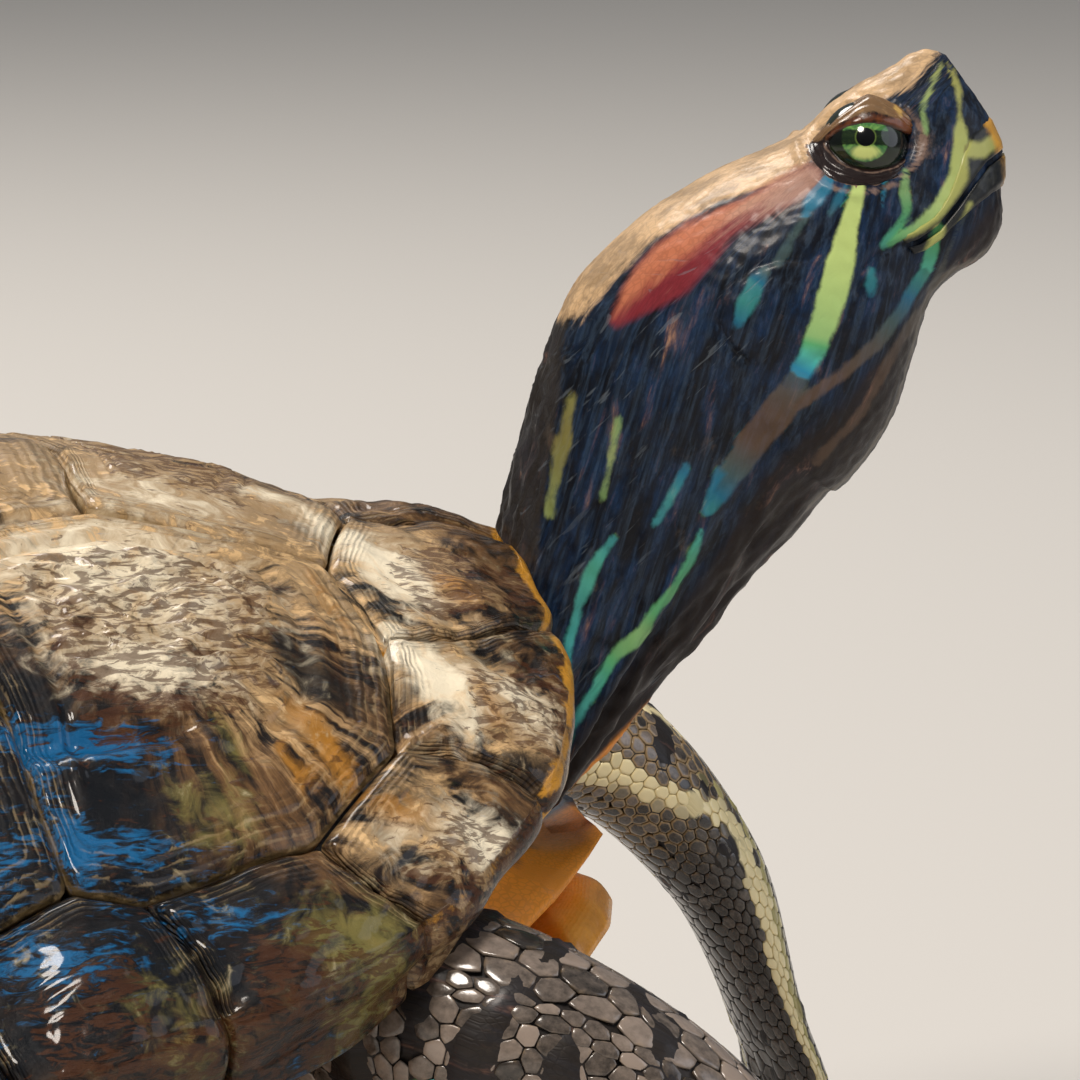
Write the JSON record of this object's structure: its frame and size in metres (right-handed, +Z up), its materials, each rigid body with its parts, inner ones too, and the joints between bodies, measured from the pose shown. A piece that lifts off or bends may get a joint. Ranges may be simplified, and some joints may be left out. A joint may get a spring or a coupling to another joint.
{
  "type": "red-eared slider turtle",
  "caption": "Life-size still model of an adult pond turtle propped on its forelegs, neck stretched up, with its scuted shell, eyes, clawed legs and tail.",
  "frame": {"origin": "middle of the floor under the turtle's outer box", "axes": "+X the way the turtle faces, +Y to its left, +Z up"},
  "size_m": [0.2942, 0.2328, 0.1406],
  "materials": {
    "carapace": "wet horn, olive brown and black with tan growth bands and yellow rims",
    "plastron": "smooth horn, yellow orange with dark blotches",
    "skin": "moist scaly skin, blue black with yellow green stripes and a red ear patch",
    "eye": "wet clear cornea over a green iris with a round black pupil"
  },
  "bodies": {
    "root": {"cervical": "carapace", "vertebral_1": "carapace", "vertebral_2": "carapace", "vertebral_3": "carapace", "vertebral_4": "carapace", "vertebral_5": "carapace", "costal_r_1": "carapace", "costal_r_2": "carapace", "costal_r_3": "carapace", "costal_r_4": "carapace", "costal_l_1": "carapace", "costal_l_2": "carapace", "costal_l_3": "carapace", "costal_l_4": "carapace", "marginal_r_1": "carapace", "marginal_r_2": "carapace", "marginal_r_3": "carapace", "marginal_r_4": "carapace", "marginal_r_5": "carapace", "marginal_r_6": "carapace", "marginal_r_7": "carapace", "marginal_r_8": "carapace", "marginal_r_9": "carapace", "marginal_r_10": "carapace", "marginal_r_11": "carapace", "marginal_r_12": "carapace", "marginal_l_1": "carapace", "marginal_l_2": "carapace", "marginal_l_3": "carapace", "marginal_l_4": "carapace", "marginal_l_5": "carapace", "marginal_l_6": "carapace", "marginal_l_7": "carapace", "marginal_l_8": "carapace", "marginal_l_9": "carapace", "marginal_l_10": "carapace", "marginal_l_11": "carapace", "marginal_l_12": "carapace", "gular_r": "plastron", "gular_l": "plastron", "humeral_r": "plastron", "humeral_l": "plastron", "pectoral_r": "plastron", "pectoral_l": "plastron", "abdominal_r": "plastron", "abdominal_l": "plastron", "femoral_r": "plastron", "femoral_l": "plastron", "anal_r": "plastron", "anal_l": "plastron", "trunk": "skin", "head": "skin", "neck": "skin", "tail": "skin", "foreleg_r": "skin", "foreleg_l": "skin", "hindleg_r": "skin", "hindleg_l": "skin", "eye_r": "eye", "eye_l": "eye"}
  },
  "joints": []
}
